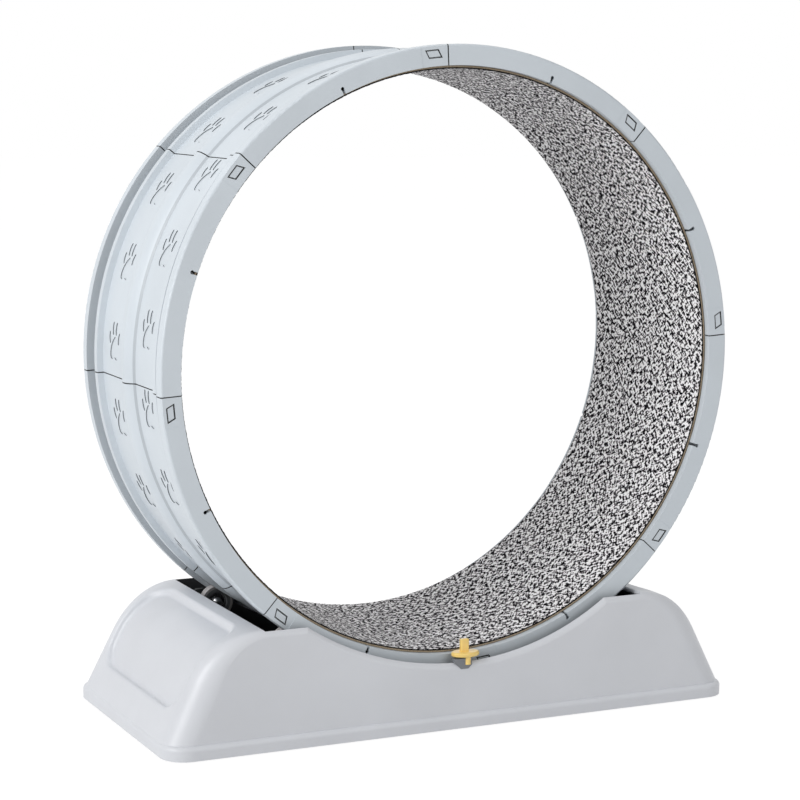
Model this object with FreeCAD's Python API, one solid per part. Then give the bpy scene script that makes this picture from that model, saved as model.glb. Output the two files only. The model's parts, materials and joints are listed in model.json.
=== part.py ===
import FreeCAD, Part

import math
import os

from FreeCAD import Placement, Rotation, Vector

# Free-standing cat exercise wheel, in millimetres.
# +Z is up, the origin is on the floor under the middle of the base, +X runs to the right
# along the base and -Y faces the viewer. The wheel turns about a line along Y.

# --- wheel ring -------------------------------------------------------------------------
RIM_R = 400.0            # outer radius of the two rims
LIP_R = 373.7            # inner radius of the ring, at its two lips
WHEEL_W = 295.2          # ring width along Y
SKIN = 3.0               # wall of the moulded segments
LIP_W = 10.0             # width of the lip that frames the carpet
BAND_R = 387.0           # tread band and roller track
RIDGE_R = 395.0          # top of the two guide ridges
HUMP_R = 396.0           # crown of the middle hump
HUMP_HALF = 20.0         # half width of the middle hump at its foot
RIDGE_Y = (103.5, 105.0, 116.5, 117.8)    # ridge foot, top, top, foot
TRACK_END_Y = 131.0      # the roller track ends at the rim's inner wall
RIM_CORNER = 3.0         # rounding of the rims' outer corners
SEGMENTS = 8
SEGMENT_ANGLE = 360.0 / SEGMENTS
FIRST_JOINT = 3.4        # angle of the first joint, from +X towards +Z
JOINT_GAP = 0.8          # width of the line between two segments
RIB_T = 2.6
RIBS_BETWEEN = 5         # ribs between the two end walls of a segment

# latches between the segments: a snap tongue of one segment in a window of the next
LATCH_ANGLE = 2.93       # from the joint to the middle of the window
LATCH_R = 389.0
WINDOW_L = 18.0
WINDOW_H = 10.0
WINDOW_LEAN = 2.2        # sideways lean of the window, a parallelogram
LATCH_GAP = 0.6          # slot round the snap tongue's pad
TONGUE_ANGLE = 5.0       # reach of the tongue past the joint
TONGUE_T = 2.4
PLATE_ANGLE = 5.5        # lapped end zone of a segment's side faces
PLATE_DEPTH = 0.4
NOTCH_ANGLE = 22.4       # carpet notch, from the joint
NOTCH_W = 3.6
NOTCH_DEPTH = 8.5

# paw prints, sunk into the two tread bands
PAW_PITCH = 15.2
PAW_FIRST = {1: 8.5, -1: 4.5}       # first print after the joint, back band and front band
PAW_Y = 60.0
PAW_DEPTH = 1.2
PAWS_PER_BAND = 3

# --- carpet -----------------------------------------------------------------------------
CARPET_HALF = 137.0
PILE_R = 369.2           # running surface
BACKING_R = 371.2
BACKING_OUTER_R = 373.4

# --- base -------------------------------------------------------------------------------
FOOT_H = 1.5             # how far the rubber feet stand out under the base
AXLE_Z = 464.5 + FOOT_H  # height of the wheel's centre
BASE_HALF_L = 401.5
BASE_HALF_D = 178.5
SHELL_LIP_H = 17.5
SHELL_LIP_R = 32.0       # plan rounding of the base's corners
SHELL_LIP_ROUND = 6.0
BODY_HALF_L = 398.5      # where the end slopes meet the lip
BODY_HALF_D = 173.0      # the long walls at the lip
BODY_TOP_HALF_D = 163.5  # and at the top of the ends
BODY_FOOT_H = 12.5       # the body starts inside the lip
BASE_H = 149.0           # height of the two ends above the lip's underside
SLOPE = 64.0             # end slopes, degrees above the floor
SHOULDER_R = 106.0
SADDLE_R = 380.0         # the front and back walls' arc, about the wheel's centre
WALL = 4.0
TOP_ROUND = 10.0         # outer edge of the wall tops
CORNER_ROUND = 32.0      # edge between the end slopes and the long walls
SLOT_HALF_L = 269.0      # slot for the wheel
SLOT_ROUND = 3.0         # upper edge of the slot's two ends
PANEL_DEPTH = 8.0        # sunken panel on each end
PANEL_HALF_W = 134.0
PANEL_CORNER = 34.0
PANEL_FLOOR_ROUND = 7.0
PANEL_RIM_ROUND = 6.0
PANEL_LOW = (-382.0, 52.0)     # lower and upper edge of the left panel, X and height
PANEL_HIGH = (-292.0, 146.0)

# --- rollers ----------------------------------------------------------------------------
ROLLER_R = 22.5
ROLLER_W = 12.0
ROLLER_Y = 124.4
ROLLER_ANGLE = 33.0      # from straight down
RUN_GAP = 0.3            # between a roller and its track
ROLLER_CENTRE_R = BAND_R + ROLLER_R + RUN_GAP
BEARING_OUTER_R = 11.0
BEARING_INNER_R = 6.0
BEARING_BORE_R = 4.0
BEARING_W = 7.0
TYRE_INNER_R = 18.5
RECESS_R = 13.0
TREAD_GROOVE_W = 4.4
AXLE_HEAD_R = 6.6
AXLE_HEAD_T = 4.6
WASHER_T = 1.2
WASHER_R = 6.2
NUT_T = 5.8
NUT_FLATS = 13.0
BRACKET_T = 6.0
BRACKET_GAP = 6.5        # from the roller's outer face to the bracket
BRACKET_HALF_W = 27.0
RIM_CLEAR = 3.5

# --- cover, feet and screws -------------------------------------------------------------
COVER_Z = 3.0            # underside of the bottom cover
COVER_T = 3.0
COVER_GAP = 1.0
FEET = (340.0, 118.0)
FOOT_R = 14.0
BOSS_R = 6.0
END_BOSS = (364.0, 125.0, 70.0)      # x, y and height of the screw bosses in the ends
LONG_BOSS = (125.0, 165.0, 40.0)     # and on the long walls
SCREW_R = 2.0
SCREW_HEAD_R = 3.8
SCREW_HEAD_T = 2.2
FLANGE_T = 4.0
FLANGE_IN = 12.0         # the bracket's foot reaches this far inboard of its plate
FLANGE_OUT = 7.0
FLANGE_SCREW_X = 18.0
GUSSET_H = 62.0

# --- lock key ---------------------------------------------------------------------------
KEY_X = 7.2
KEY_Y = -161.0
KEY_FLANGE_Z = AXLE_Z - 374.5        # underside of the flange
KEY_FLANGE_T = 6.0
KEY_FLANGE_RX = 19.2
KEY_FLANGE_RY = 12.4
KEY_TAB = (11.5, 6.5, 16.5)          # width, depth and height of the finger tab
KEY_TAB_SHIFT = -1.5
KEY_PEG = (7.4, -167.5)
KEY_PEG_R = 4.2
KEY_PEG_L = 9.6
KEY_PEG_GAP = 0.1                    # round the peg in its channel
SOCKET_TOP = AXLE_Z - 376.0
SOCKET_LOW = AXLE_Z - 389.5
SOCKET_X = (-11.8, 13.0)
SOCKET_Y = (-169.4, -159.5)
SOCKET_CLIPS = (9.0, 5.0)            # the socket's lower corners are cut off

X_AXIS = Vector(1, 0, 0)
Y_AXIS = Vector(0, 1, 0)
Z_AXIS = Vector(0, 0, 1)
ORIGIN = Vector(0, 0, 0)
HALF_W = WHEEL_W / 2.0


# --- small helpers ----------------------------------------------------------------------
def outline(start, steps):
    """A closed wire: each step is a point, for a line, or a pair (middle, end), for an arc."""
    edges = []
    here = start
    for step in steps:
        if isinstance(step, Vector):
            edges.append(Part.LineSegment(here, step).toShape())
            here = step
        else:
            middle, end = step
            edges.append(Part.Arc(here, middle, end).toShape())
            here = end
    if here.sub(start).Length > 1e-6:
        edges.append(Part.LineSegment(here, start).toShape())
    return Part.Wire(edges)


def box(low, high):
    size = [b - a for a, b in zip(low, high)]
    return Part.makeBox(size[0], size[1], size[2], Vector(*low))


def rod(radius, y0, y1, x=0.0, z=0.0):
    """A cylinder along Y from y0 to y1."""
    low = min(y0, y1)
    return Part.makeCylinder(radius, abs(y1 - y0), Vector(x, low, z), Y_AXIS)


def ring(outer, inner, y0, y1, x=0.0, z=0.0):
    return rod(outer, y0, y1, x, z).cut(rod(inner, y0 - 1.0 if y0 < y1 else y0 + 1.0,
                                            y1 + 1.0 if y0 < y1 else y1 - 1.0, x, z))


def turned(shape, angle):
    """A copy turned about the wheel's axis, from +X towards +Z."""
    copy = shape.copy()
    copy.rotate(ORIGIN, Vector(0, -1, 0), angle)
    return copy


def on_wheel(shape):
    """A copy of a shape modelled about the origin, moved to the wheel's centre."""
    copy = shape.copy()
    copy.translate(Vector(0, 0, AXLE_Z))
    return copy


def mirrored_y(shape):
    return shape.mirror(ORIGIN, Y_AXIS)


def mirrored_x(shape):
    return shape.mirror(ORIGIN, X_AXIS)


def rounded_rect(half_x, half_y, radius, height, z0):
    """An upright block with rounded corners, centred on the Z axis."""
    block = box((-half_x, -half_y, z0), (half_x, half_y, z0 + height))
    upright = [e for e in block.Edges if abs(e.Vertexes[0].Z - e.Vertexes[1].Z) > 1e-6]
    return block.makeFillet(radius, upright)


def merged(shapes):
    solid = shapes[0].multiFuse(shapes[1:])
    return solid.removeSplitter()


# --- wheel segments ---------------------------------------------------------------------
def tread_points(inset):
    """Half of the tread's section, (radius, y) from the hump's foot to the rim's corner."""
    crown_r = (HUMP_HALF ** 2 + (HUMP_R - BAND_R) ** 2) / (2.0 * (HUMP_R - BAND_R))
    crown_centre = HUMP_R - crown_r
    band = BAND_R - inset
    foot = math.sqrt((crown_r - inset) ** 2 - (band - crown_centre) ** 2)
    foot_in, top_in, top_out, foot_out = RIDGE_Y
    lean = 0.85 * inset
    return [
        (band, foot),
        (band, foot_in + lean),
        (RIDGE_R - inset, top_in + inset),
        (RIDGE_R - inset, top_out - inset),
        (band, foot_out - lean),
        (band, TRACK_END_Y + lean),
        (RIM_R - inset, TRACK_END_Y + 0.8 + inset),
    ]


def section(inset, side_y, corner, bottom_r):
    """A closed face of the ring's section, filled from bottom_r up to the inset tread."""
    half = tread_points(inset)
    top = RIM_R - inset
    left = [Vector(r, -y, 0) for r, y in half]
    right = [Vector(r, y, 0) for r, y in half]
    steps = []
    if corner > 0:
        slack = corner * (1.0 - math.sqrt(0.5))
        steps.append(Vector(top - corner, -side_y, 0))
        steps.append((Vector(top - slack, -side_y + slack, 0), Vector(top, -side_y + corner, 0)))
    else:
        steps.append(Vector(top, -side_y, 0))
    steps.extend(reversed(left))
    steps.append((Vector(HUMP_R - inset, 0, 0), right[0]))
    steps.extend(right[1:])
    if corner > 0:
        steps.append(Vector(top, side_y - corner, 0))
        steps.append((Vector(top - slack, side_y - slack, 0), Vector(top - corner, side_y, 0)))
    else:
        steps.append(Vector(top, side_y, 0))
    steps.append(Vector(bottom_r, side_y, 0))
    return Part.Face(outline(Vector(bottom_r, -side_y, 0), steps))


def sweep(face, start, end):
    """The solid that a section face sweeps from one wheel angle to another."""
    return turned(face.revolve(ORIGIN, Vector(0, -1, 0), end - start), start)


def segment_shell(start, end):
    """The skin, side walls and lips of one segment, open towards the carpet."""
    outer = section(0.0, HALF_W, RIM_CORNER, LIP_R)
    hollow = section(SKIN, HALF_W - SKIN, 0.0, LIP_R + SKIN)
    mouth_y = HALF_W - LIP_W
    mouth = Part.Face(outline(Vector(LIP_R - 1, -mouth_y, 0),
                              [Vector(LIP_R + SKIN + 1, -mouth_y, 0),
                               Vector(LIP_R + SKIN + 1, mouth_y, 0),
                               Vector(LIP_R - 1, mouth_y, 0)]))
    skin = outer.cut(hollow.fuse(mouth)).Faces[0]
    return sweep(skin, start, end)


def segment_ribs(start, end):
    """End walls and cross ribs, which carry the carpet's backing."""
    inner_y = TRACK_END_Y + 2.0
    web = section(0.5 * SKIN, HALF_W - 0.5 * SKIN, 0.0, LIP_R + 0.3)
    web = web.common(Part.Face(outline(Vector(300, -inner_y, 0), [Vector(500, -inner_y, 0),
                                                                  Vector(500, inner_y, 0),
                                                                  Vector(300, inner_y, 0)])))
    web = web.Faces[0]
    width = math.degrees(RIB_T / BAND_R)
    pitch = (end - start - width) / (RIBS_BETWEEN + 1)
    return [sweep(web, start + i * pitch, start + i * pitch + width)
            for i in range(RIBS_BETWEEN + 2)]


def window_prism(grow, y0, y1):
    """The latch window's parallelogram at wheel angle 0, grown all round, along Y."""
    half_l = 0.5 * WINDOW_L + grow
    half_h = 0.5 * WINDOW_H + grow
    corners = [(-half_h, -half_l - WINDOW_LEAN), (half_h, -half_l + WINDOW_LEAN),
               (half_h, half_l + WINDOW_LEAN), (-half_h, half_l - WINDOW_LEAN)]
    points = [Vector(LATCH_R + r, y0, t) for r, t in corners]
    prism = Part.Face(outline(points[0], points[1:])).extrude(Vector(0, y1 - y0, 0))
    ends = [e for e in prism.Edges if abs(e.Vertexes[0].Y - e.Vertexes[1].Y) > 1e-6]
    return prism.makeFillet(1.4, ends)


def snap_tongue(end):
    """The tongue past a segment's far end, with the pad that fills the next window."""
    low_r = LATCH_R - 8.5
    high_r = RIM_R - SKIN - 0.6
    y_out = HALF_W - SKIN - 0.3
    y_in = y_out - TONGUE_T
    plate = Part.Face(outline(Vector(low_r, y_in, 0), [Vector(high_r, y_in, 0),
                                                       Vector(high_r, y_out, 0),
                                                       Vector(low_r, y_out, 0)]))
    root = Part.Face(outline(Vector(low_r, y_in, 0), [Vector(high_r, y_in, 0),
                                                      Vector(high_r, y_out + 1.3, 0),
                                                      Vector(low_r, y_out + 1.3, 0)]))
    tongue = sweep(plate, end - 2.6, SEGMENT_ANGLE + TONGUE_ANGLE)
    pad = turned(window_prism(-LATCH_GAP, y_out - 0.5, HALF_W - 0.9),
                 SEGMENT_ANGLE + LATCH_ANGLE)
    return merged([tongue, sweep(root, end - 2.6, end), pad])


def notch_cutter():
    """The keyhole notch through a side wall and its lip."""
    y0 = HALF_W - LIP_W - 2.0
    y1 = HALF_W + 1.0
    slot = box((LIP_R - 2.0, y0, -0.5 * NOTCH_W), (LIP_R + NOTCH_DEPTH, y1, 0.5 * NOTCH_W))
    eye = rod(0.5 * NOTCH_W + 0.7, y0, y1, LIP_R + NOTCH_DEPTH - 1.5, 0.0)
    return turned(slot.fuse(eye), NOTCH_ANGLE)


def toe_wire(across, along, lean, length, width):
    toe = Part.Ellipse(ORIGIN, 0.5 * length, 0.5 * width).toShape()
    wire = Part.Wire([toe])
    wire.rotate(ORIGIN, Z_AXIS, 90.0 + lean)
    wire.translate(Vector(across, along, 0))
    return wire


def pad_wire():
    """The main pad of a paw print: two round heels, a rounded top and hollow sides."""
    points = [Vector(0, 9, 0), Vector(-7.5, 3, 0), Vector(-14, -8, 0), Vector(-13, -18, 0),
              Vector(-5, -19.5, 0), Vector(0, -17.5, 0), Vector(5, -19.5, 0),
              Vector(13, -18, 0), Vector(14, -8, 0), Vector(7.5, 3, 0)]
    curve = Part.BSplineCurve()
    curve.interpolate(Points=points, PeriodicFlag=True)
    return Part.Wire([curve.toShape()])


def paw_stamps():
    """One paw print at wheel angle 0 and y 0, toes towards falling wheel angles."""
    wires = [pad_wire()]
    for side in (-1, 1):
        wires.append(toe_wire(side * 5.8, 19.5, -side * 4.0, 17.0, 7.2))
        wires.append(toe_wire(side * 16.5, 7.5, -side * 12.0, 15.5, 6.8))
    stamps = []
    for wire in wires:
        stamp = Part.Face(wire).extrude(Vector(0, 0, 12.0))
        # the print's width lies along Y, its length along -Z and its depth along the radius
        stamp.Placement = Placement(Vector(BAND_R - 6.0, 0, 0),
                                    Rotation(-Y_AXIS, -Z_AXIS, X_AXIS, "ZXY"))
        stamps.append(stamp)
    return stamps


def paw_tools():
    """All the sunk prints of one segment, floors rounded with the band."""
    floor = rod(BAND_R - PAW_DEPTH, -40.0, 40.0)
    print_tools = [stamp.cut(floor) for stamp in paw_stamps()]
    tools = []
    for side, first in PAW_FIRST.items():
        for i in range(PAWS_PER_BAND):
            for tool in print_tools:
                copy = tool.copy()
                copy.translate(Vector(0, side * PAW_Y, 0))
                tools.append(turned(copy, first + i * PAW_PITCH))
    return tools


def ring_segment():
    """One segment about the origin, from wheel angle 0 to one segment angle."""
    half_gap = math.degrees(0.5 * JOINT_GAP / RIM_R)
    start = half_gap
    end = SEGMENT_ANGLE - half_gap
    body = merged([segment_shell(start, end)] + segment_ribs(start, end))
    lap = Part.Face(outline(Vector(LIP_R - 1, HALF_W - PLATE_DEPTH, 0),
                            [Vector(RIM_R + 1, HALF_W - PLATE_DEPTH, 0),
                             Vector(RIM_R + 1, HALF_W + 1, 0),
                             Vector(LIP_R - 1, HALF_W + 1, 0)]))
    lap_cut = sweep(lap, -0.5, PLATE_ANGLE)
    window = turned(window_prism(0.0, HALF_W - SKIN - 1, HALF_W + 1), LATCH_ANGLE)
    cutters = []
    for tool in (lap_cut, window, notch_cutter()):
        cutters.append(tool)
        cutters.append(mirrored_y(tool))
    body = body.cut(cutters + paw_tools())
    tongue = snap_tongue(end)
    return merged([body, tongue, mirrored_y(tongue)])


# --- carpet -----------------------------------------------------------------------------
def carpet(inner, outer):
    return on_wheel(ring(outer, inner, -CARPET_HALF, CARPET_HALF))


# --- base -------------------------------------------------------------------------------
def end_profile(inset):
    """Foot, shoulder start, shoulder middle and shoulder end of one end, (x, height)."""
    slope = math.radians(SLOPE)
    top = BASE_H - inset
    radius = SHOULDER_R - inset
    meet_x = BODY_HALF_L - (BASE_H - SHELL_LIP_H) / math.tan(slope)
    centre_x = meet_x - SHOULDER_R * math.tan(0.5 * slope)
    centre_h = BASE_H - SHOULDER_R
    side = (centre_x + radius * math.sin(slope), centre_h + radius * math.cos(slope))
    middle = (centre_x + radius * math.sin(0.5 * slope),
              centre_h + radius * math.cos(0.5 * slope))
    foot_x = side[0] + (side[1] - BODY_FOOT_H) / math.tan(slope)
    return (foot_x, BODY_FOOT_H), side, middle, (centre_x, top)


def front_face(inset, saddle):
    """The base's outline seen from the front, as a face in the plane y = 0."""
    foot, side, middle, top = end_profile(inset)

    def at(point, sign):
        return Vector(sign * point[0], 0, FOOT_H + point[1])

    steps = [at(side, -1), (at(middle, -1), at(top, -1))]
    if saddle:
        top_z = FOOT_H + BASE_H
        kink = math.sqrt(SADDLE_R ** 2 - (AXLE_Z - top_z) ** 2)
        steps.append(Vector(-kink, 0, top_z))
        steps.append((Vector(0, 0, AXLE_Z - SADDLE_R), Vector(kink, 0, top_z)))
    steps.append(at(top, 1))
    steps.append((at(middle, 1), at(side, 1)))
    steps.append(at(foot, 1))
    return Part.Face(outline(at(foot, -1), steps))


def side_prism(inset):
    """A long prism with the drafted front and back walls."""
    draft = (BODY_HALF_D - BODY_TOP_HALF_D) / (BASE_H - SHELL_LIP_H)

    def half_d(height):
        return BODY_HALF_D - (height - SHELL_LIP_H) * draft - inset

    low, high = -10.0, BASE_H + 40.0
    face = Part.Face(outline(Vector(-500, -half_d(low), FOOT_H + low),
                             [Vector(-500, half_d(low), FOOT_H + low),
                              Vector(-500, half_d(high), FOOT_H + high),
                              Vector(-500, -half_d(high), FOOT_H + high)]))
    return face.extrude(Vector(1000, 0, 0))


def base_block(inset, saddle):
    face = front_face(inset, saddle)
    face.translate(Vector(0, -300, 0))
    return face.extrude(Vector(0, 600, 0)).common(side_prism(inset))


def long_wall_edges(block):
    """The edges along the top of the two long walls, sorted into corner and top edges."""
    corner, top = [], []
    for edge in block.Edges:
        middle = edge.valueAt(0.5 * (edge.FirstParameter + edge.LastParameter))
        if abs(middle.y) < BODY_TOP_HALF_D - 15 or middle.z < FOOT_H + BODY_FOOT_H + 1:
            continue
        if abs(edge.Vertexes[0].Y - edge.Vertexes[1].Y) > 100:
            continue
        is_end = abs(middle.x) > end_profile(0.0)[3][0] + 1
        (corner if is_end else top).append(edge)
    return corner, top


def slot_space():
    """The slot through the top, as wide as the hollow, with its two ends' edges rounded."""
    top = FOOT_H + BASE_H
    left = Vector(-SLOT_HALF_L - SLOT_ROUND, 0, top)
    right = Vector(SLOT_HALF_L + SLOT_ROUND, 0, top)
    slack = SLOT_ROUND * (1.0 - math.sqrt(0.5))
    face = Part.Face(outline(
        Vector(-SLOT_HALF_L, 0, top - 40),
        [Vector(-SLOT_HALF_L, 0, top - SLOT_ROUND),
         (Vector(-SLOT_HALF_L - slack, 0, top - slack), left),
         left.add(Vector(0, 0, 40)), right.add(Vector(0, 0, 40)), right,
         (Vector(SLOT_HALF_L + slack, 0, top - slack), Vector(SLOT_HALF_L, 0, top - SLOT_ROUND)),
         Vector(SLOT_HALF_L, 0, top - 40)]))
    face.translate(Vector(0, -300, 0))
    return face.extrude(Vector(0, 600, 0)).common(side_prism(WALL))


def panel_block(grow):
    """The space over the left end's panel, grown all round. Its lower wall stands square on
    the slope and its upper wall is upright."""
    slope = math.radians(SLOPE)
    reach = 20.0
    square = Vector(-math.sin(slope), 0, math.cos(slope)).multiply(reach)
    low = Vector(PANEL_LOW[0] - grow * math.cos(slope), 0,
                 PANEL_LOW[1] + FOOT_H - grow * math.sin(slope))
    high = Vector(PANEL_HIGH[0] + grow, 0, PANEL_HIGH[1] + FOOT_H)
    up = Vector(0, 0, reach)
    outside = Vector(low.x + square.x, 0, high.z + up.z)
    face = Part.Face(outline(low.sub(square), [low.add(square), outside, high.add(up),
                                               high.sub(up)]))
    half_w = PANEL_HALF_W + grow
    face.translate(Vector(0, -half_w, 0))
    block = face.extrude(Vector(0, 2 * half_w, 0))
    corners = []
    for edge in block.Edges:
        middle = edge.CenterOfMass
        flat = Vector(middle.x, 0, middle.z)
        if abs(middle.y) > 1 and min(flat.distanceToPoint(low), flat.distanceToPoint(high)) < 1:
            corners.append(edge)
    return block.makeFillet(PANEL_CORNER + grow, corners)


def panel_space(grow):
    """What the left panel takes away, or with grow the bulge that it makes inside."""
    floor = base_block(PANEL_DEPTH + grow, False)
    space = base_block(-40.0, False).cut(floor).common(panel_block(grow))
    if grow > 0:
        return space
    edges = [edge for edge in space.Edges if is_on(edge, floor)
             and min(abs(v.Y) for v in edge.Vertexes) < PANEL_HALF_W - 1]
    return space.makeFillet(PANEL_FLOOR_ROUND, edges + side_edges(space, floor))


def is_on(edge, solid):
    """Whether an edge's middle lies on a solid's surface."""
    middle = edge.valueAt(0.5 * (edge.FirstParameter + edge.LastParameter))
    return solid.Shells[0].distToShape(Part.Vertex(middle))[0] < 0.01


def side_edges(space, floor):
    """The panel floor's edges along its two side walls."""
    return [edge for edge in space.Edges if is_on(edge, floor)
            and min(abs(v.Y) for v in edge.Vertexes) > PANEL_HALF_W - 1
            and abs(edge.Vertexes[0].Y - edge.Vertexes[1].Y) < 1]


def with_panels(block):
    """The base's body with its two sunken panels and their softened rims."""
    left = panel_space(0.0)
    sunk = block.cut([left, mirrored_x(left)])
    rims = [edge for edge in sunk.Edges
            if is_on(edge, block) and (is_on(edge, left) or is_on(edge, mirrored_x(left)))]
    return sunk.makeFillet(PANEL_RIM_ROUND, rims)


def base_shell():
    outer = with_panels(rounded(base_block(0.0, True), 0.0))
    lip = rounded_rect(BASE_HALF_L, BASE_HALF_D, SHELL_LIP_R, SHELL_LIP_H, FOOT_H)
    lip_top = [e for e in lip.Edges
               if min(v.Z for v in e.Vertexes) > FOOT_H + SHELL_LIP_H - 0.01]
    lip = lip.makeFillet(SHELL_LIP_ROUND, lip_top)
    outer = outer.fuse(lip)
    bulge = panel_space(WALL)
    hollow = rounded(base_block(WALL, False), WALL).cut([bulge, mirrored_x(bulge)])
    inner_lip = rounded_rect(BASE_HALF_L - WALL, BASE_HALF_D - WALL, SHELL_LIP_R - WALL,
                             SHELL_LIP_H - WALL + 1, FOOT_H - 1)
    shell = outer.cut([hollow, slot_space(), inner_lip])
    posts = [post.common(outer) for post, _ in shell_bosses()]
    shell = merged([shell] + posts)
    cuts = [hole for _, hole in shell_bosses()]
    return shell.cut(cuts + [socket_block()])


def rounded(block, inset):
    """Large rounding down the end corners, running out into a smaller one on the wall tops."""
    large = CORNER_ROUND - inset
    small = TOP_ROUND - inset
    corner, top = long_wall_edges(block)
    sizes = []
    for index, edge in enumerate(block.Edges):
        if any(edge.isSame(e) for e in top):
            sizes.append((index + 1, small, small))
        if any(edge.isSame(e) for e in corner):
            start = edge.valueAt(edge.FirstParameter).z
            end = edge.valueAt(edge.LastParameter).z
            shoulder = BASE_H + FOOT_H - inset - 0.01
            sizes.append((index + 1, small if start > shoulder else large,
                          small if end > shoulder else large))
    document = FreeCAD.newDocument("rounding")
    base = document.addObject("Part::Feature", "Block")
    base.Shape = block
    fillet = document.addObject("Part::Fillet", "Round")
    fillet.Base = base
    fillet.Edges = sizes
    document.recompute()
    return fillet.Shape


# --- cover, feet and screws -------------------------------------------------------------
def screw_places():
    """The bottom cover's screws: four in the ends, four along the long walls."""
    return [(sx * x, sy * y) for x, y, _ in (END_BOSS, LONG_BOSS)
            for sx in (-1, 1) for sy in (-1, 1)]


def shell_bosses():
    bosses = []
    for x, y, height in (END_BOSS, LONG_BOSS):
        for sx in (-1, 1):
            for sy in (-1, 1):
                z0 = COVER_Z + COVER_T
                post = Part.makeCylinder(BOSS_R, height, Vector(sx * x, sy * y, z0))
                hole = Part.makeCylinder(SCREW_R, 16.0, Vector(sx * x, sy * y, z0 - 1))
                bosses.append((post, hole))
    return bosses


def bottom_cover():
    plate = rounded_rect(BASE_HALF_L - WALL - COVER_GAP, BASE_HALF_D - WALL - COVER_GAP,
                         SHELL_LIP_R - WALL - COVER_GAP, COVER_T, COVER_Z)
    holes = [Part.makeCylinder(SCREW_R, COVER_T + 2, Vector(x, y, COVER_Z - 1))
             for x, y in screw_places()]
    holes += [Part.makeCylinder(SCREW_R, COVER_T + 2, Vector(x, y, COVER_Z - 1))
              for x, y in bracket_screw_places()]
    return plate.cut(holes)


def cover_screws():
    screws = []
    for x, y in screw_places():
        head = Part.makeCylinder(SCREW_HEAD_R, SCREW_HEAD_T, Vector(x, y, COVER_Z - SCREW_HEAD_T))
        head = head.makeFillet(0.8, [head.Edges[i] for i in (2,)])
        shank = Part.makeCylinder(SCREW_R, 17.0, Vector(x, y, COVER_Z - 0.5))
        screws.append(merged([head, shank]))
    return Part.makeCompound(screws)


def rubber_foot(sx, sy):
    foot = Part.makeCylinder(FOOT_R, COVER_Z, Vector(sx * FEET[0], sy * FEET[1], 0))
    rim = [e for e in foot.Edges if max(v.Z for v in e.Vertexes) < 0.01]
    return foot.makeFillet(0.8, rim)


# --- rollers ----------------------------------------------------------------------------
def roller_centre(sx):
    angle = math.radians(ROLLER_ANGLE)
    return sx * ROLLER_CENTRE_R * math.sin(angle), AXLE_Z - ROLLER_CENTRE_R * math.cos(angle)


def bracket_screw_places():
    places = []
    for sx in (-1, 1):
        x = roller_centre(sx)[0]
        for sy in (-1, 1):
            y = sy * (bracket_inner_y() - 0.5 * FLANGE_IN)
            places += [(x - FLANGE_SCREW_X, y), (x + FLANGE_SCREW_X, y)]
    return places


def bracket_inner_y():
    return ROLLER_Y + 0.5 * ROLLER_W + BRACKET_GAP


def roller_bracket(sx, sy):
    """An upright plate on a screwed foot, cut away under the wheel's rim."""
    x, z = roller_centre(sx)
    y_in = bracket_inner_y()
    y_out = y_in + BRACKET_T
    z0 = COVER_Z + COVER_T
    low_x, high_x = x - BRACKET_HALF_W, x + BRACKET_HALF_W
    plate = box((low_x, y_in, z0), (high_x, y_out, z + 16.0))
    upright = [e for e in plate.Edges
               if abs(e.Vertexes[0].Y - e.Vertexes[1].Y) > 1 and e.Vertexes[0].Z > z]
    plate = plate.makeFillet(6.0, upright)
    foot = box((low_x, y_in - FLANGE_IN, z0), (high_x, y_out + FLANGE_OUT, z0 + FLANGE_T))
    pieces = [plate, foot]
    for side in (-1, 1):
        gx = x + side * (BRACKET_HALF_W - 4.0)
        web = Part.Face(outline(Vector(gx - 2, y_out - 1, z0 + 1),
                                [Vector(gx - 2, y_out + FLANGE_OUT, z0 + 1),
                                 Vector(gx - 2, y_out - 1, z0 + GUSSET_H)]))
        pieces.append(web.extrude(Vector(4.0, 0, 0)))
    bracket = merged(pieces)
    cuts = [rod(RIM_R + RIM_CLEAR, y_in - 1, y_out + FLANGE_OUT + 1, 0, AXLE_Z),
            rod(BEARING_BORE_R, y_in - 1, y_out + 1, x, z)]
    for side in (-1, 1):
        at = Vector(x + side * FLANGE_SCREW_X, y_in - 0.5 * FLANGE_IN, z0 - 1)
        cuts.append(Part.makeCylinder(SCREW_R, FLANGE_T + 2, at))
    bracket = bracket.cut(cuts)
    return bracket if sy > 0 else mirrored_y(bracket)


def bracket_screws():
    z0 = COVER_Z + COVER_T + FLANGE_T
    screws = []
    for x, y in bracket_screw_places():
        head = Part.makeCylinder(SCREW_HEAD_R, 2.8, Vector(x, y, z0))
        shank = Part.makeCylinder(SCREW_R, z0 - COVER_Z + 0.5, Vector(x, y, COVER_Z))
        screws.append(merged([head, shank]))
    return Part.makeCompound(screws)


def at_roller(shape, sx, sy):
    """A shape modelled on a roller's axis on the +Y side, placed at one of the four."""
    x, z = roller_centre(sx)
    copy = shape if sy > 0 else mirrored_y(shape)
    copy = copy.copy()
    copy.translate(Vector(x, 0, z))
    return copy


def roller_span():
    return ROLLER_Y - 0.5 * ROLLER_W, ROLLER_Y + 0.5 * ROLLER_W


def bearing_span():
    return ROLLER_Y - 0.5 * BEARING_W, ROLLER_Y + 0.5 * BEARING_W


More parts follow.
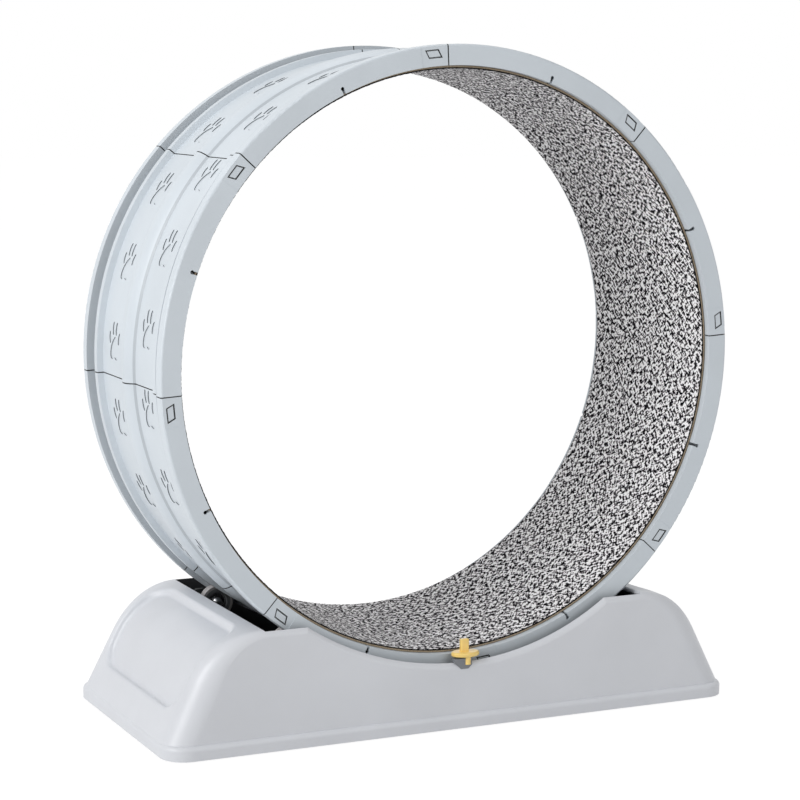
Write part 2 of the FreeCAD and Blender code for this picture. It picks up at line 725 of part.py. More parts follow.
def roller_tyre():
    """A soft tyre with two treads and a shallow groove between them."""
    y0, y1 = roller_span()
    half = 0.5 * TREAD_GROOVE_W
    face = outline(Vector(TYRE_INNER_R, y0, 0),
                   [Vector(ROLLER_R - 1.2, y0, 0),
                    (Vector(ROLLER_R - 0.35, y0 + 0.35, 0), Vector(ROLLER_R, y0 + 1.2, 0)),
                    Vector(ROLLER_R, ROLLER_Y - half - 0.6, 0),
                    Vector(ROLLER_R - 1.0, ROLLER_Y - half, 0),
                    Vector(ROLLER_R - 1.0, ROLLER_Y + half, 0),
                    Vector(ROLLER_R, ROLLER_Y + half + 0.6, 0),
                    Vector(ROLLER_R, y1 - 1.2, 0),
                    (Vector(ROLLER_R - 0.35, y1 - 0.35, 0), Vector(ROLLER_R - 1.2, y1, 0)),
                    Vector(TYRE_INNER_R, y1, 0)])
    return Part.Face(face).revolve(ORIGIN, Y_AXIS, 360)


def roller_hub():
    """The hub, open to a recess on its inner face and with a lip behind the bearing."""
    y0, y1 = roller_span()
    b0, b1 = bearing_span()
    face = outline(Vector(RECESS_R + 1.0, y0, 0),
                   [Vector(TYRE_INNER_R, y0, 0), Vector(TYRE_INNER_R, y1, 0),
                    Vector(BEARING_OUTER_R - 1.6, y1, 0), Vector(BEARING_OUTER_R - 1.6, b1, 0),
                    Vector(BEARING_OUTER_R, b1, 0), Vector(BEARING_OUTER_R, b0, 0),
                    Vector(RECESS_R, b0, 0)])
    return Part.Face(face).revolve(ORIGIN, Y_AXIS, 360)


def bearing_outer():
    """The bearing's outer race with its two shields."""
    b0, b1 = bearing_span()
    race_r = BEARING_OUTER_R - 2.2
    shield_r = BEARING_INNER_R + 0.3
    face = outline(Vector(shield_r, b0 + 0.3, 0),
                   [Vector(race_r, b0 + 0.3, 0), Vector(race_r, b0, 0),
                    Vector(BEARING_OUTER_R, b0, 0), Vector(BEARING_OUTER_R, b1, 0),
                    Vector(race_r, b1, 0), Vector(race_r, b1 - 0.3, 0),
                    Vector(shield_r, b1 - 0.3, 0), Vector(shield_r, b1 - 1.1, 0),
                    Vector(race_r, b1 - 1.1, 0), Vector(race_r, b0 + 1.1, 0),
                    Vector(shield_r, b0 + 1.1, 0)])
    return Part.Face(face).revolve(ORIGIN, Y_AXIS, 360)


def bearing_inner():
    b0, b1 = bearing_span()
    return ring(BEARING_INNER_R, BEARING_BORE_R, b0, b1)


def axle_stations():
    """Y of the head's base, the bracket's two faces, the nut's base and the bolt's end."""
    b0, b1 = bearing_span()
    head = b0 - WASHER_T
    plate_in = bracket_inner_y()
    plate_out = plate_in + BRACKET_T
    nut = plate_out + WASHER_T
    return head, b1, plate_in, plate_out, nut, nut + NUT_T + 1.5


def axle_bolt():
    """A domed head on the inner side and a plain shank out through the bracket."""
    head_y, _, _, _, _, end_y = axle_stations()
    top_y = head_y - AXLE_HEAD_T
    face = outline(Vector(0, top_y, 0),
                   [(Vector(0.72 * AXLE_HEAD_R, top_y + 1.3, 0),
                     Vector(AXLE_HEAD_R, head_y - 1.2, 0)),
                    Vector(AXLE_HEAD_R, head_y, 0), Vector(BEARING_BORE_R - 0.05, head_y, 0),
                    Vector(BEARING_BORE_R - 0.05, end_y - 0.8, 0),
                    Vector(BEARING_BORE_R - 0.85, end_y, 0), Vector(0, end_y, 0)])
    return Part.Face(face).revolve(ORIGIN, Y_AXIS, 360)


def axle_nut():
    nut_y = axle_stations()[4]
    radius = 0.5 * NUT_FLATS / math.cos(math.radians(30))
    points = [Vector(radius * math.cos(math.radians(60 * i)), nut_y,
                     radius * math.sin(math.radians(60 * i))) for i in range(6)]
    prism = Part.Face(outline(points[0], points[1:])).extrude(Vector(0, NUT_T, 0))
    return prism.cut(rod(BEARING_BORE_R, nut_y - 1, nut_y + NUT_T + 1))


def axle_washers():
    head_y, _, _, plate_out, nut_y, _ = axle_stations()
    b0 = bearing_span()[0]
    return [ring(WASHER_R, BEARING_BORE_R, head_y, b0),
            ring(WASHER_R + 1.0, BEARING_BORE_R, plate_out, nut_y)]


def axle_spacer():
    _, b1, plate_in, _, _, _ = axle_stations()
    return ring(BEARING_INNER_R - 0.4, BEARING_BORE_R, b1, plate_in)


def four_times(shapes):
    """Copies of some pieces of an axle at all four rollers, as one group."""
    return Part.makeCompound([at_roller(shape, sx, sy) for shape in shapes
                              for sx in (-1, 1) for sy in (-1, 1)])


# --- lock key ---------------------------------------------------------------------------
def lock_key():
    flange = Part.Ellipse(ORIGIN, KEY_FLANGE_RX, KEY_FLANGE_RY).toShape()
    plate = Part.Face(Part.Wire([flange])).extrude(Vector(0, 0, KEY_FLANGE_T))
    plate = plate.makeFillet(2.2, [e for e in plate.Edges
                                   if abs(e.Vertexes[0].Z - e.Vertexes[-1].Z) < 1e-6])
    plate.translate(Vector(KEY_X, KEY_Y, KEY_FLANGE_Z))
    width, depth, height = KEY_TAB
    tab_x = KEY_X + KEY_TAB_SHIFT
    tab = box((tab_x - 0.5 * width, KEY_Y - 0.5 * depth, KEY_FLANGE_Z + 2.0),
              (tab_x + 0.5 * width, KEY_Y + 0.5 * depth, KEY_FLANGE_Z + KEY_FLANGE_T + height))
    tab = tab.makeFillet(1.8, [e for e in tab.Edges
                               if max(v.Z for v in e.Vertexes) > KEY_FLANGE_Z + 8])
    peg_low = KEY_FLANGE_Z - KEY_PEG_L
    peg = Part.makeCylinder(KEY_PEG_R, KEY_PEG_L + 2.0, Vector(*KEY_PEG, peg_low))
    return merged([plate, tab, peg])


def socket_block():
    x0, x1 = SOCKET_X
    y0, y1 = SOCKET_Y
    left, right = SOCKET_CLIPS
    face = outline(Vector(x0, y0, SOCKET_TOP),
                   [Vector(x1, y0, SOCKET_TOP), Vector(x1, y0, SOCKET_LOW + right),
                    Vector(x1 - right, y0, SOCKET_LOW), Vector(x0 + left, y0, SOCKET_LOW),
                    Vector(x0, y0, SOCKET_LOW + left)])
    return Part.Face(face).extrude(Vector(0, y1 - y0, 0))


def lock_socket():
    """The insert in the front wall's edge, with an open channel that takes the key's peg."""
    depth = KEY_FLANGE_Z - KEY_PEG_L - 0.5
    channel = Part.makeCylinder(KEY_PEG_R + KEY_PEG_GAP, 60, Vector(*KEY_PEG, depth))
    return socket_block().cut(channel)


# --- the whole object -------------------------------------------------------------------
CORNERS = {"front_left": (-1, -1), "front_right": (1, -1),
           "back_left": (-1, 1), "back_right": (1, 1)}


def all_parts():
    parts = {}
    segment = ring_segment()
    for i in range(SEGMENTS):
        parts["ring_segment_%d" % (i + 1)] = on_wheel(
            turned(segment, FIRST_JOINT + i * SEGMENT_ANGLE))
    parts["carpet_backing"] = carpet(BACKING_R, BACKING_OUTER_R)
    parts["carpet_pile"] = carpet(PILE_R, BACKING_R)
    parts["base_shell"] = base_shell()
    parts["bottom_cover"] = bottom_cover()
    parts["cover_screws"] = cover_screws()
    parts["bracket_screws"] = bracket_screws()
    for name, (sx, sy) in CORNERS.items():
        parts["rubber_foot_" + name] = rubber_foot(sx, sy)
        parts["roller_bracket_" + name] = roller_bracket(sx, sy)
        parts["roller_tyre_" + name] = at_roller(roller_tyre(), sx, sy)
        parts["roller_hub_" + name] = at_roller(roller_hub(), sx, sy)
        parts["bearing_outer_" + name] = at_roller(bearing_outer(), sx, sy)
        parts["axle_bolt_" + name] = at_roller(axle_bolt(), sx, sy)
    parts["bearing_inner_races"] = four_times([bearing_inner()])
    parts["axle_nuts"] = four_times([axle_nut()])
    parts["axle_washers"] = four_times(axle_washers())
    parts["axle_spacers"] = four_times([axle_spacer()])
    parts["lock_key"] = lock_key()
    parts["lock_socket"] = lock_socket()
    return parts


os.makedirs("parts", exist_ok=True)
for node, shape in all_parts().items():
    shape.exportStep("parts/%s.step" % node)
    print(node, "valid" if shape.isValid() else "INVALID", len(shape.Solids), "solid(s)",
          round(shape.Volume / 1000.0, 1), "cm3")
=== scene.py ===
import json
import math

import bpy
from mathutils import Matrix, Vector, noise


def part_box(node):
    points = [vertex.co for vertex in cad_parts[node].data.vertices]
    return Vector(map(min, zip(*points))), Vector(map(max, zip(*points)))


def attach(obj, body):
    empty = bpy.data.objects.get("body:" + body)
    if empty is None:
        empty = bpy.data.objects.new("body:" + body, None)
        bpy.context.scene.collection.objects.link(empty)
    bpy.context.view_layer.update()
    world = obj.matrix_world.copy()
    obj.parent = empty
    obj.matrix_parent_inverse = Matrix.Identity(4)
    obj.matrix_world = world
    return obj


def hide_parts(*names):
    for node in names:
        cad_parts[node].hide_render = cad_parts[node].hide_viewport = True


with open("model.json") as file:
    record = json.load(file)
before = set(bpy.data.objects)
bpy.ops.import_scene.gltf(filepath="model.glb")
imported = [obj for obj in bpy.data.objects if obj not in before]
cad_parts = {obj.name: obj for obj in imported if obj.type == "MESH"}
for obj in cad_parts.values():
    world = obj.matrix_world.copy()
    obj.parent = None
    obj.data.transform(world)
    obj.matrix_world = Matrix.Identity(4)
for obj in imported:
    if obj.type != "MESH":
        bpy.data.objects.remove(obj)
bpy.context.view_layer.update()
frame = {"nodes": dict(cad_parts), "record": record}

# A free-standing cat exercise wheel: a ring of eight moulded segments with a carpet inside,
# standing on four rollers in a hollow base. Metres, +Z up, -Y faces the viewer.

# --- sizes taken from the frame ---------------------------------------------------------
CARPET_LOW, CARPET_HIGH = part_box("carpet_pile")
BACKING_LOW, BACKING_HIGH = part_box("carpet_backing")
WHEEL_CENTRE = (BACKING_LOW + BACKING_HIGH) / 2
CARPET_WIDTH = CARPET_HIGH.y - CARPET_LOW.y

# --- carpet -----------------------------------------------------------------------------
MM = 0.001
PILE_OUTER_R = (CARPET_HIGH.z - CARPET_LOW.z) / 2      # where the pile meets its backing
PILE_DEPTH = 2.0 * MM
STRIPS = 8
STRIP_LENGTH = 2 * math.pi * PILE_OUTER_R / STRIPS
TUFT_ROWS = 190            # mesh cells across the carpet and along one strip
TUFT_HEIGHT = 0.7 * MM     # how far the loops stand above the gaps between them
TUFT_COARSE = 420.0        # the scale of the loops' noise, and the share it has in the height
TUFT_COARSE_SHARE = 0.55
TUFT_FINE = 900.0
TUFT_FINE_SHARE = 0.35
TUFT_MEAN = 0.55           # mean height of the pile, from 0 to 1
CUT_EDGE = 0.7 * MM        # a dark band along the carpet's two cut edges
STROKE_TURNS = (0.55, -0.75)           # the ways the fibres lean, in radians
STROKE_STRETCH = 2.6                   # how much longer than wide a stroke of fibres is
STROKE_SCALE = 310.0
FIBRE_SHARE = 0.2                      # share of the single fibres beside the strokes

# --- places on the ring and the base that the finishes need -----------------------------
SEGMENTS = 8
SEGMENT_ANGLE = 2 * math.pi / SEGMENTS
FIRST_JOINT = math.radians(3.4)        # from +X towards +Z
JOINT_LINE = 0.75 * MM                 # half width of the dark line at a joint
LATCH_ANGLE = math.radians(2.93)       # from a joint to the middle of its latch window
LATCH_R = 389.0 * MM
WINDOW_HALF_L = 9.0 * MM
WINDOW_HALF_H = 5.0 * MM
WINDOW_LEAN = 0.44                     # sideways per unit of height
WINDOW_LINE = (-1.3 * MM, 0.5 * MM)    # the dark outline, from inside to outside the edge
SIDE_FACE_Y = 145.0 * MM               # a place further out than this is on a side face
PAW_Y = (32.0 * MM, 92.0 * MM)
PAW_R = (385.0 * MM, 387.3 * MM)       # from the bottom of a paw print to just over the band
TRACK_Y = (117.0 * MM, 132.5 * MM)     # where the rollers run, on both sides
RIDGE_EDGE_Y = (115.4 * MM, 117.4 * MM)       # outer edge of the back ridge
HUMP_FOOT_Y = (-21.5 * MM, -17.5 * MM)        # front foot of the middle hump
SLOT_HALF_L = 272.5 * MM               # half length of the base's slot

# --- how much of its tint a shaded place keeps ------------------------------------------
LINE_SHADE = 0.05          # joints and the outlines of the latch windows
# The paw walls, tracks, ridge edge, hump foot and hollow below are painted shade.
PAW_SHADE = 0.3
TRACK_SHADE = 0.85
RIDGE_SHADE = 0.35
HUMP_SHADE = 0.75
HOLLOW_SHADE = 0.06
CUT_EDGE_SHADE = 0.04

# --- how square to a direction a face stands, as the cosine that tells it -----------------
PAW_WALL = 0.6             # walls of a paw print have less of the outward direction
HOLLOW_WALL = -0.5         # inner faces of the base look inwards by more
HOLLOW_ROOF = -0.2         # and downwards by more
TYRE_SIDE = 0.9            # flat sides of a tyre look along the axle by more


# --- modelling helpers ------------------------------------------------------------------
def start_clean():
    """Nothing selected and nothing in edit mode, so that an operator meets only its piece."""
    if bpy.context.mode != "OBJECT":
        bpy.ops.object.mode_set(mode="OBJECT")
    bpy.ops.object.select_all(action="DESELECT")


def named(name):
    piece = bpy.context.active_object
    piece.name = name
    piece.data.name = name
    return piece


def apply_place(piece):
    start_clean()
    piece.select_set(True)
    bpy.context.view_layer.objects.active = piece
    bpy.ops.object.transform_apply(location=True, rotation=True, scale=True)


# --- material helpers -------------------------------------------------------------------
def new_material(name):
    material = bpy.data.materials.new(name)
    material.use_nodes = True
    tree = material.node_tree
    tree.nodes.clear()
    output = tree.nodes.new("ShaderNodeOutputMaterial")
    shader = tree.nodes.new("ShaderNodeBsdfPrincipled")
    tree.links.new(shader.outputs["BSDF"], output.inputs["Surface"])
    return material, tree, shader


def add(tree, kind, settings=None, **inputs):
    """A new node. An input's value is a number, a colour or another node's output."""
    node = tree.nodes.new(kind)
    for key, value in (settings or {}).items():
        setattr(node, key, value)
    for key, value in inputs.items():
        socket = node.inputs[key.replace("_", " ")]
        if isinstance(value, bpy.types.NodeSocket):
            tree.links.new(value, socket)
        else:
            socket.default_value = value
    return node


def object_place(tree):
    return add(tree, "ShaderNodeTexCoord").outputs["Object"]


def maths(tree, operation, *values):
    """The result of one operation on numbers and outputs."""
    node = tree.nodes.new("ShaderNodeMath")
    node.operation = operation
    for socket, value in zip(node.inputs, values):
        if isinstance(value, bpy.types.NodeSocket):
            tree.links.new(value, socket)
        else:
            socket.default_value = value
    return node.outputs[0]


def parts_of(tree, vector):
    """The x, y and z outputs of a vector."""
    return add(tree, "ShaderNodeSeparateXYZ", Vector=vector).outputs


def facing(tree):
    """The x, y and z outputs of the direction a face looks in."""
    return parts_of(tree, add(tree, "ShaderNodeTexCoord").outputs["Normal"])


def within(tree, value, low, high):
    """1 where a value lies between two numbers, else 0."""
    return maths(tree, "MULTIPLY", maths(tree, "GREATER_THAN", value, low),
                 maths(tree, "LESS_THAN", value, high))


def either(tree, *masks):
    total = masks[0]
    for mask in masks[1:]:
        total = maths(tree, "MAXIMUM", total, mask)
    return total


def painted_over(tree, colour, mask, factor):
    """A colour made darker by a factor where the mask is 1."""
    share = spread(tree, mask, 0.0, 1.0, 1.0, factor)
    node = add(tree, "ShaderNodeVectorMath", {"operation": "SCALE"}, Scale=share)
    tree.links.new(colour, node.inputs[0])
    return node.outputs["Vector"]


def noise_at(tree, place, scale, detail=2.0, roughness=0.5):
    node = add(tree, "ShaderNodeTexNoise", Vector=place, Scale=scale, Detail=detail,
               Roughness=roughness)
    return node.outputs["Fac"]


def ramp(tree, value, stops):
    """A colour ramp: stops are (place, colour), the colour a grey number or three numbers."""
    node = add(tree, "ShaderNodeValToRGB", Fac=value)
    elements = node.color_ramp.elements
    while len(elements) < len(stops):
        elements.new(0.5)
    for element, (place, colour) in zip(elements, stops):
        rgb = (colour,) * 3 if isinstance(colour, float) else colour
        element.position = place
        element.color = (*rgb, 1.0)
    return node.outputs["Color"]


def spread(tree, value, low, high, out_low, out_high):
    node = add(tree, "ShaderNodeMapRange", Value=value, From_Min=low, From_Max=high,
               To_Min=out_low, To_Max=out_high)
    return node.outputs["Result"]


def bump(tree, height, distance, strength=1.0, normal=None):
    node = add(tree, "ShaderNodeBump", Height=height, Distance=distance, Strength=strength)
    if normal is not None:
        tree.links.new(normal, node.inputs["Normal"])
    return node.outputs["Normal"]


def set_inputs(tree, shader, **inputs):
    for key, value in inputs.items():
        socket = shader.inputs[key.replace("_", " ")]
        if isinstance(value, bpy.types.NodeSocket):
            tree.links.new(value, socket)
        else:
            socket.default_value = value


def tinted(colour, factor):
    return tuple(min(1.0, c * factor) for c in colour)


# --- finishes ---------------------------------------------------------------------------
def moulded_plastic(name, colour, roughness, shade=None):
    """Injection-moulded plastic: faint flow marks in its tint, sink marks and a fine grain.
    Shade, where given, darkens the tint in places: dark lines and painted shade."""
    material, tree, shader = new_material(name)
    place = object_place(tree)
    flow = noise_at(tree, place, 9.0, 4.0)
    tint = ramp(tree, flow, [(0.3, tinted(colour, 0.965)), (0.7, tinted(colour, 1.03))])
    if shade is not None:
        tint = shade(tree, place, tint)
    grain = noise_at(tree, place, 1500.0, 3.0, 0.6)
    sinks = noise_at(tree, place, 22.0, 1.0)
    normal = bump(tree, grain, 0.02 * MM, 0.6, bump(tree, sinks, 0.25 * MM, 0.5))
    clouds = noise_at(tree, place, 60.0, 3.0)
    set_inputs(tree, shader, Base_Color=tint, Normal=normal,
               Roughness=spread(tree, clouds, 0.3, 0.7, roughness - 0.04, roughness + 0.04))
    return material


def joint_lines(tree, radius, past_joint):
    """1 along the joints between the segments."""
    to_joint = maths(tree, "MINIMUM", past_joint,
                     maths(tree, "SUBTRACT", SEGMENT_ANGLE, past_joint))
    return maths(tree, "LESS_THAN", maths(tree, "MULTIPLY", to_joint, radius), JOINT_LINE)


def latch_outlines(tree, radius, past_joint, across):
    """1 along the edges of the latch windows in both side faces."""
    above = maths(tree, "SUBTRACT", radius, LATCH_R)
    along = maths(tree, "MULTIPLY", maths(tree, "SUBTRACT", past_joint, LATCH_ANGLE), radius)
    along = maths(tree, "ABSOLUTE", maths(tree, "SUBTRACT", along,
                                          maths(tree, "MULTIPLY", above, WINDOW_LEAN)))
    edge = maths(tree, "MAXIMUM", maths(tree, "SUBTRACT", along, WINDOW_HALF_L),
                 maths(tree, "SUBTRACT", maths(tree, "ABSOLUTE", above), WINDOW_HALF_H))
    return maths(tree, "MULTIPLY", within(tree, edge, *WINDOW_LINE),
                 maths(tree, "GREATER_THAN", across, SIDE_FACE_Y))


def paw_walls(tree, x, height, radius, across):
    """1 on the upright walls of the sunk paw prints."""
    nx, _, nz = facing(tree)
    outward = maths(tree, "DIVIDE", maths(tree, "ADD", maths(tree, "MULTIPLY", nx, x),
                                          maths(tree, "MULTIPLY", nz, height)), radius)
    wall = maths(tree, "LESS_THAN", maths(tree, "ABSOLUTE", outward), PAW_WALL)
    printed = maths(tree, "MULTIPLY", within(tree, across, *PAW_Y),
                    within(tree, radius, *PAW_R))
    return maths(tree, "MULTIPLY", wall, printed)


def ring_shade(tree, place, tint):
    """Dark lines at the joints and round the latches, and painted shade on the paw-print
    walls, in the roller tracks, along the back ridge's edge and at the front foot of the
    middle hump."""
    x, y, z = parts_of(tree, place)
    height = maths(tree, "SUBTRACT", z, WHEEL_CENTRE.z)
    radius = maths(tree, "SQRT", maths(tree, "ADD", maths(tree, "MULTIPLY", x, x),
                                       maths(tree, "MULTIPLY", height, height)))
    across = maths(tree, "ABSOLUTE", y)
    angle = maths(tree, "ARCTAN2", height, x)
    turns = maths(tree, "DIVIDE", maths(tree, "SUBTRACT", angle, FIRST_JOINT), SEGMENT_ANGLE)
    past_joint = maths(tree, "MULTIPLY", maths(tree, "FRACT", turns), SEGMENT_ANGLE)
    # Painted shade: the roller tracks on both sides are darkened.
    tint = painted_over(tree, tint, within(tree, across, *TRACK_Y), TRACK_SHADE)
    # Painted shade: a dark band along the back ridge's outer edge, on the back side only.
    tint = painted_over(tree, tint, within(tree, y, *RIDGE_EDGE_Y), RIDGE_SHADE)
    # Painted shade: the front foot of the middle hump is darkened.
    tint = painted_over(tree, tint, within(tree, y, *HUMP_FOOT_Y), HUMP_SHADE)
    # Painted shade: the upright walls of the paw prints are darkened.
    tint = painted_over(tree, tint, paw_walls(tree, x, height, radius, across), PAW_SHADE)
    lines = either(tree, joint_lines(tree, radius, past_joint),
                   latch_outlines(tree, radius, past_joint, across))
    return painted_over(tree, tint, lines, LINE_SHADE)


def base_shade(tree, place, tint):
    """Painted shade: the hollow's inner faces are darkened."""
    x, y, _ = parts_of(tree, place)
    _, ny, nz = facing(tree)
    inwards = maths(tree, "LESS_THAN", maths(tree, "MULTIPLY", ny, maths(tree, "SIGN", y)),
                    HOLLOW_WALL)
    wall = maths(tree, "MULTIPLY", inwards,
                 maths(tree, "LESS_THAN", maths(tree, "ABSOLUTE", x), SLOT_HALF_L))
    roof = maths(tree, "LESS_THAN", nz, HOLLOW_ROOF)
    return painted_over(tree, tint, either(tree, wall, roof), HOLLOW_SHADE)


def glossy_plastic(name, colour, roughness):
    """Moulded plastic with a polished skin that lets a little light in."""
    material, tree, shader = new_material(name)
    place = object_place(tree)
    tint = ramp(tree, noise_at(tree, place, 70.0, 3.0),
                [(0.3, tinted(colour, 0.94)), (0.7, tinted(colour, 1.03))])
    normal = bump(tree, noise_at(tree, place, 900.0, 2.0), 0.03 * MM, 0.5)
    set_inputs(tree, shader, Base_Color=tint, Roughness=roughness, Normal=normal,
               Specular_IOR_Level=0.6, Subsurface_Weight=0.08, Subsurface_Scale=0.002,
               Coat_Weight=0.3, Coat_Roughness=0.12)
    return material


def carpet_pile_finish():
    """Grey melange pile: dark, grey and nearly white fibres in short strokes both ways."""
    material, tree, shader = new_material("carpet_melange")
    cut = add(tree, "ShaderNodeUVMap", {"uv_map": "cut"}).outputs["UV"]
    leaning = []
    for turn in STROKE_TURNS:
        mapping = add(tree, "ShaderNodeMapping", {"vector_type": "TEXTURE"}, Vector=cut,
                      Rotation=(0, 0, turn), Scale=(1.0, STROKE_STRETCH, 1.0))
        leaning.append(noise_at(tree, mapping.outputs["Vector"], STROKE_SCALE, 1.0, 0.6))
    fibres = noise_at(tree, cut, 1500.0, 1.0, 0.6)
    mixed = maths(tree, "MULTIPLY_ADD", fibres, FIBRE_SHARE, maths(tree, "ADD", *leaning))
    colour = ramp(tree, maths(tree, "DIVIDE", mixed, len(leaning) + FIBRE_SHARE),
                  [(0.45, (0.004, 0.003, 0.005)), (0.478, (0.09, 0.083, 0.09)),
                   (0.503, (0.48, 0.46, 0.475)), (0.53, (1.0, 0.99, 1.0))])
    across = maths(tree, "ABSOLUTE", parts_of(tree, cut)[1])
    edge = maths(tree, "GREATER_THAN", across, CARPET_WIDTH / 2 - CUT_EDGE)
    colour = painted_over(tree, colour, edge, CUT_EDGE_SHADE)
    normal = bump(tree, mixed, 0.3 * MM, 0.4)
    set_inputs(tree, shader, Base_Color=colour, Roughness=0.95, Normal=normal,
               Specular_IOR_Level=0.1)
    return material


def backing_finish():
    """Tan felt under the pile."""
    material, tree, shader = new_material("backing_felt")
    place = object_place(tree)
    fibres = noise_at(tree, place, 1100.0, 4.0, 0.7)
    colour = ramp(tree, fibres, [(0.35, (0.20, 0.15, 0.10)), (0.65, (0.50, 0.41, 0.30))])
    set_inputs(tree, shader, Base_Color=colour, Roughness=0.95,
               Normal=bump(tree, fibres, 0.3 * MM, 0.8), Specular_IOR_Level=0.2)
    return material


def rubber(name, colour, roughness, side=1.0):
    """Soft rubber with dust in its pores; its flat sides may be darker than its tread."""
    material, tree, shader = new_material(name)
    place = object_place(tree)
    dust = noise_at(tree, place, 90.0, 5.0, 0.7)
    tint = ramp(tree, dust, [(0.35, tinted(colour, 0.8)), (0.7, tinted(colour, 1.25))])
    flat = maths(tree, "GREATER_THAN", maths(tree, "ABSOLUTE", facing(tree)[1]), TYRE_SIDE)
    tint = painted_over(tree, tint, flat, side)
    normal = bump(tree, noise_at(tree, place, 1300.0, 3.0), 0.05 * MM, 0.7)
    set_inputs(tree, shader, Base_Color=tint, Normal=normal, Specular_IOR_Level=0.35,
               Roughness=spread(tree, dust, 0.3, 0.7, roughness - 0.08, roughness + 0.08))
    return material


def plated_steel(name, colour, roughness):
    """Zinc-plated or polished steel: metal with fine turning marks and a cloudy shine."""
    material, tree, shader = new_material(name)
    place = object_place(tree)
    clouds = noise_at(tree, place, 260.0, 4.0, 0.6)
    tint = ramp(tree, clouds, [(0.3, tinted(colour, 0.88)), (0.7, tinted(colour, 1.06))])
    marks = noise_at(tree, place, 2600.0, 2.0)
    set_inputs(tree, shader, Base_Color=tint, Metallic=1.0,
               Normal=bump(tree, marks, 0.01 * MM, 0.5),
               Roughness=spread(tree, clouds, 0.3, 0.7, roughness - 0.07, roughness + 0.07))
    return material


def finishes():
    """Each slot of the record with its finish."""
    return {
        "ring_plastic": moulded_plastic("ring_light_grey", (0.605, 0.655, 0.70), 0.42,
                                        shade=ring_shade),
        "base_plastic": moulded_plastic("base_light_grey", (0.64, 0.655, 0.69), 0.38,
                                        shade=base_shade),
        "cover_plastic": moulded_plastic("cover_black", (0.035, 0.037, 0.040), 0.55),
        "bracket_plastic": moulded_plastic("bracket_black", (0.03, 0.034, 0.036), 0.50),
        "carpet_pile": carpet_pile_finish(),
        "backing_felt": backing_finish(),
        "roller_rubber": rubber("tyre_grey_rubber", (0.52, 0.50, 0.50), 0.45, side=0.5),
        "hub_nylon": moulded_plastic("hub_dark_nylon", (0.10, 0.105, 0.11), 0.45),
        "bearing_steel": plated_steel("bearing_steel", (0.55, 0.55, 0.56), 0.25),
        "zinc_steel": plated_steel("zinc_plate", (0.62, 0.63, 0.65), 0.32),
        "foot_rubber": rubber("foot_black_rubber", (0.03, 0.03, 0.032), 0.65),
        "key_plastic": glossy_plastic("key_yellow", (0.93, 0.66, 0.19), 0.28),
        "socket_plastic": moulded_plastic("socket_grey", (0.19, 0.20, 0.215), 0.45),
    }


def dress_nodes(finish):
    """Gives each piece of the frame the finish of its slot."""
    for entry in frame["record"]["subparts"]:
        data = frame["nodes"][entry["node"]].data
        data.materials.clear()
        data.materials.append(finish[entry["material_slot"]])


# --- carpet -----------------------------------------------------------------------------
def tuft_height(x, y):
    """Height of the pile at a place on the flat carpet, from 0 to 1."""
    coarse = noise.noise(Vector((x * TUFT_COARSE, y * TUFT_COARSE, 3.0)))
    fine = noise.noise(Vector((x * TUFT_FINE, y * TUFT_FINE, 9.0)))
    height = TUFT_MEAN + TUFT_COARSE_SHARE * coarse + TUFT_FINE_SHARE * fine
    return max(0.0, min(1.0, height))


def cut_flat(index):
    """One strip of carpet on the flat, with its place on the whole length as its UV map."""
    start_clean()
    bpy.ops.mesh.primitive_grid_add(x_subdivisions=TUFT_ROWS, y_subdivisions=TUFT_ROWS, size=1)
    strip = named("carpet_strip_%d" % (index + 1))
    strip.scale = (STRIP_LENGTH, CARPET_WIDTH, 1)
    strip.location = ((index + 0.5) * STRIP_LENGTH, 0, 0)
    apply_place(strip)
    cut = strip.data.uv_layers.active
    cut.name = "cut"
    for loop in strip.data.loops:
        place = strip.data.vertices[loop.vertex_index].co
        cut.data[loop.index].uv = (place.x, place.y)
    return strip


def raise_tufts(strip):
    """Lifts the pile to its uneven height and closes it with a flat back."""
    lowest = PILE_DEPTH - TUFT_HEIGHT
    for vertex in strip.data.vertices:
        vertex.co.z = lowest + TUFT_HEIGHT * tuft_height(vertex.co.x, vertex.co.y)
    start_clean()
    strip.select_set(True)
    bpy.ops.object.mode_set(mode="EDIT")
    bpy.ops.mesh.select_all(action="SELECT")
    bpy.ops.mesh.extrude_region()
    bpy.ops.object.mode_set(mode="OBJECT")
    for vertex in strip.data.vertices:
        if vertex.select:
            vertex.co.z = 0.0
    bpy.ops.object.mode_set(mode="EDIT")
    bpy.ops.mesh.select_all(action="SELECT")
    bpy.ops.mesh.normals_make_consistent(inside=False)
    bpy.ops.object.mode_set(mode="OBJECT")


def carpet_strip(index, material):
    """One strip, cut flat, tufted and then laid round inside the ring."""
    strip = cut_flat(index)
    raise_tufts(strip)
    lay_round(strip)
    bpy.ops.object.shade_smooth()
    strip.data.materials.append(material)
    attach(strip, "wheel")
    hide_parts("carpet_pile")


def lay_round(strip):
    """Bends the flat strip so that its back lies on the backing."""
    for vertex in strip.data.vertices:
        angle = vertex.co.x / PILE_OUTER_R
        radius = PILE_OUTER_R - vertex.co.z
        vertex.co.x = WHEEL_CENTRE.x + radius * math.cos(angle)
        vertex.co.z = WHEEL_CENTRE.z + radius * math.sin(angle)


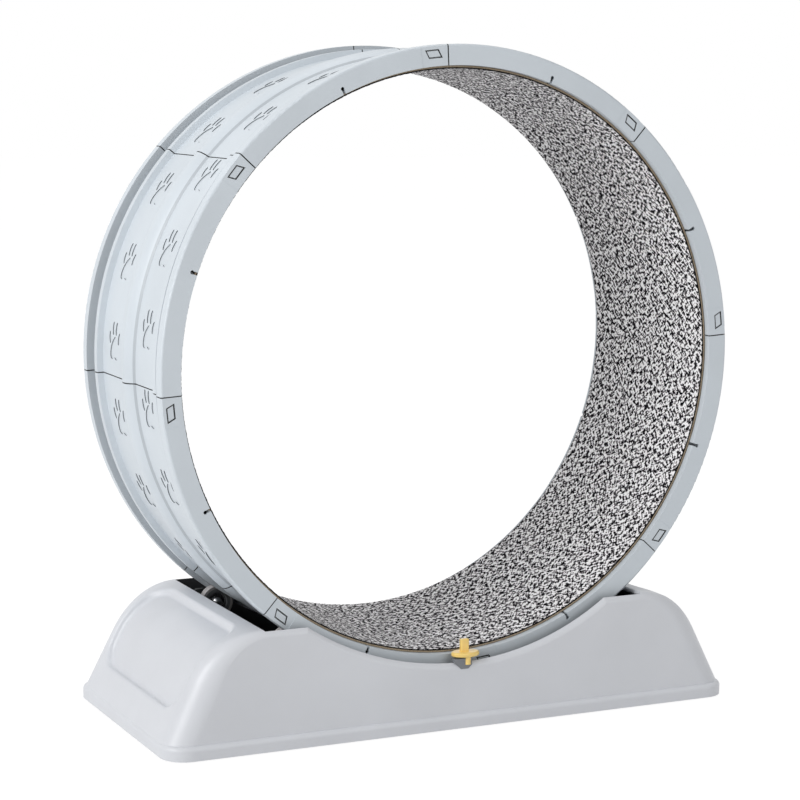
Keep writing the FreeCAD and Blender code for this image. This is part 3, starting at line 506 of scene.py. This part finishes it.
# --- floor, light and camera ------------------------------------------------------------
WORLD_LIGHT = 0.50         # the world's strength on the object
FLOOR_SIZE = 40.0
FLOOR_DROP = 0.2 * MM      # below the feet, so that the two faces don't coincide
FLOOR_GREY = 0.82
FLOOR_WHITE = 0.78         # the white share of the floor as it is seen
FLOOR_LEVEL = 1.17         # strength of that white
LAMP_TARGET = (0.0, 0.0, 0.45)
LAMPS = [                  # name, place, width, power in watts
    ("key_lamp", (-3.3, -0.9, 2.0), 1.8, 70),
    ("fill_lamp", (0.8, -3.4, 1.4), 2.4, 15),
    ("top_lamp", (0.2, 0.6, 3.4), 2.0, 16),
]
CAMERA_PLACE = Vector((-1.3122, -2.6755, 0.3511))     # from the wheel's centre
CAMERA_TURN = 0.4524       # to the right of +Y
CAMERA_TILT = 0.1387       # downwards
CAMERA_ROLL = 0.0125
CAMERA_SENSOR = 36.0
CAMERA_LENS = 102.27       # millimetres, for that sensor


def seen_directly(tree):
    """1 for a ray from the camera, off a glossy surface or through glass, else 0."""
    path = add(tree, "ShaderNodeLightPath")
    return either(tree, *(path.outputs[name] for name in
                          ("Is Camera Ray", "Is Glossy Ray", "Is Transmission Ray")))


def studio_world():
    world = bpy.data.worlds.new("studio")
    world.use_nodes = True
    tree = world.node_tree
    tree.nodes.clear()
    output = tree.nodes.new("ShaderNodeOutputWorld")
    level = spread(tree, seen_directly(tree), 0.0, 1.0, WORLD_LIGHT, 1.0)
    background = add(tree, "ShaderNodeBackground", Color=(1, 1, 1, 1), Strength=level)
    tree.links.new(background.outputs[0], output.inputs["Surface"])
    bpy.context.scene.world = world


def studio_floor():
    """A wide pale floor. Seen directly it is white and keeps part of the shadow."""
    start_clean()
    bpy.ops.mesh.primitive_plane_add(size=FLOOR_SIZE, location=(0, 0, -FLOOR_DROP))
    floor = named("studio_floor")
    material = bpy.data.materials.new("floor_white")
    material.use_nodes = True
    tree = material.node_tree
    tree.nodes.clear()
    output = tree.nodes.new("ShaderNodeOutputMaterial")
    paint = add(tree, "ShaderNodeBsdfDiffuse", Color=(FLOOR_GREY, FLOOR_GREY, FLOOR_GREY, 1))
    white = add(tree, "ShaderNodeEmission", Color=(1, 1, 1, 1), Strength=FLOOR_LEVEL)
    mix = add(tree, "ShaderNodeMixShader",
              Fac=maths(tree, "MULTIPLY", seen_directly(tree), FLOOR_WHITE))
    tree.links.new(paint.outputs[0], mix.inputs[1])
    tree.links.new(white.outputs[0], mix.inputs[2])
    tree.links.new(mix.outputs[0], output.inputs["Surface"])
    floor.data.materials.append(material)


def soft_lamp(name, place, size, power):
    start_clean()
    bpy.ops.object.light_add(type="AREA", location=place)
    lamp = bpy.context.active_object
    lamp.name = name
    lamp.data.shape = "DISK"
    lamp.data.size = size
    lamp.data.energy = power
    aim = Vector(LAMP_TARGET) - Vector(place)
    lamp.rotation_euler = aim.to_track_quat("-Z", "Y").to_euler()


def photo_camera():
    camera = bpy.data.objects.new("camera", bpy.data.cameras.new("camera"))
    bpy.context.scene.collection.objects.link(camera)
    camera.data.sensor_width = CAMERA_SENSOR
    camera.data.lens = CAMERA_LENS
    turn = Matrix.Rotation(-CAMERA_TURN, 4, "Z")
    tilt = Matrix.Rotation(math.pi / 2 - CAMERA_TILT, 4, "X")
    roll = Matrix.Rotation(CAMERA_ROLL, 4, "Z")
    camera.matrix_world = Matrix.Translation(WHEEL_CENTRE + CAMERA_PLACE) @ turn @ tilt @ roll
    bpy.context.scene.camera = camera


def studio():
    bpy.context.scene.view_settings.view_transform = "Standard"
    studio_world()
    studio_floor()
    for name, place, size, power in LAMPS:
        soft_lamp(name, place, size, power)
    photo_camera()


# --- the whole picture ------------------------------------------------------------------
start_clean()
FINISH = finishes()
dress_nodes(FINISH)
for strip_index in range(STRIPS):
    carpet_strip(strip_index, FINISH["carpet_pile"])
studio()
